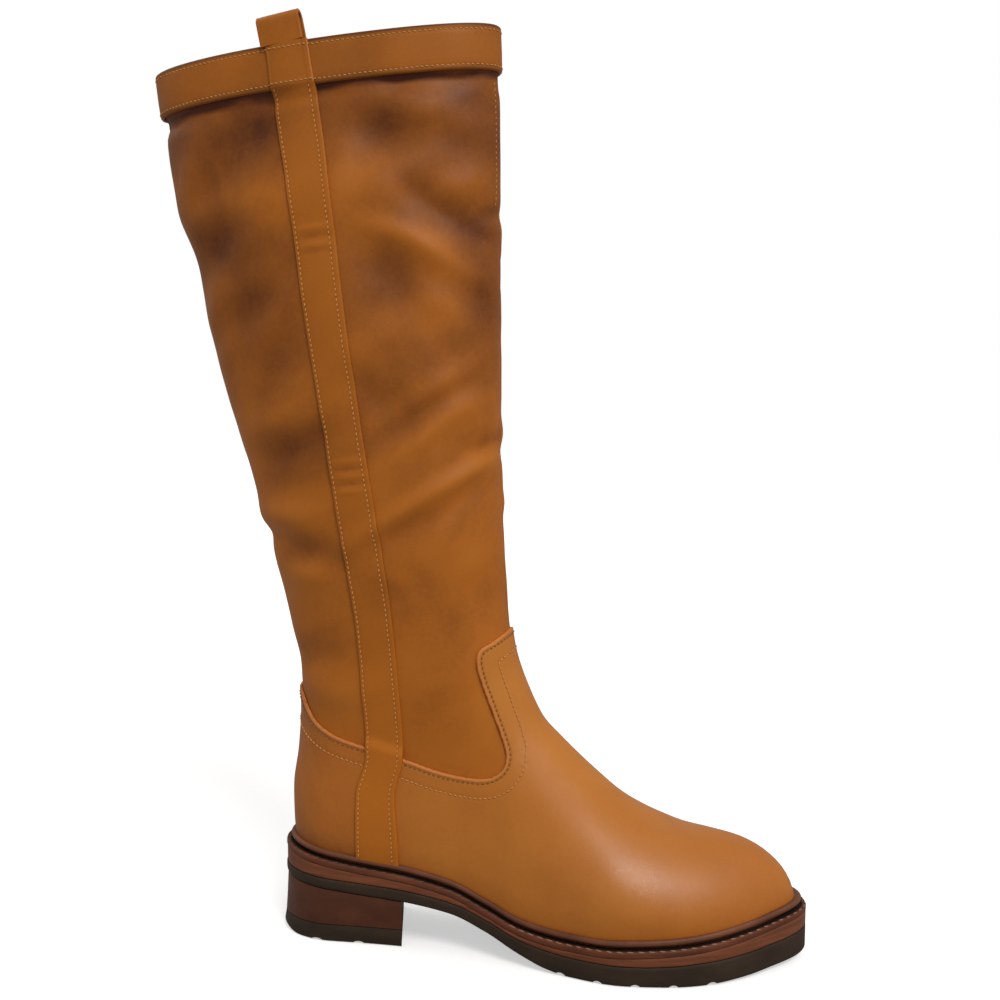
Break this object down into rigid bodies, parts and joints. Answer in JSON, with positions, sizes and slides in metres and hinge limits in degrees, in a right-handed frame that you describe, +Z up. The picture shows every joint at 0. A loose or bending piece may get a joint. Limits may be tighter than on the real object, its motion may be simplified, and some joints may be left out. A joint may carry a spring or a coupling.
{
  "type": "knee-high boot",
  "caption": "Right knee-high pull-on leather boot with slack shaft, collar band, side strap, pull loop, stitched foot panel, welted lug sole and block heel.",
  "frame": {"origin": "on the floor under the middle of the heel", "axes": "+Z up, toe towards -Y, outer side of the foot towards -X, inner side towards +X"},
  "size_m": [0.1007, 0.3658, 0.5032],
  "materials": {
    "smooth_leather": "semi-gloss, lightly waxed",
    "trim_leather": "satin",
    "edge_leather": "satin",
    "sole_cover": "satin",
    "tread_rubber": "matt",
    "lining": "matt",
    "thread": "matt"
  },
  "bodies": {
    "root": {"upper": "smooth_leather", "insole": "lining", "welt": "edge_leather", "midsole": "sole_cover", "outsole": "tread_rubber", "heel_block": "sole_cover", "heel_lift": "tread_rubber", "rand": "edge_leather", "foot_panel": "smooth_leather", "collar_band": "trim_leather", "side_strap": "trim_leather", "pull_loop": "trim_leather"}
  },
  "joints": []
}
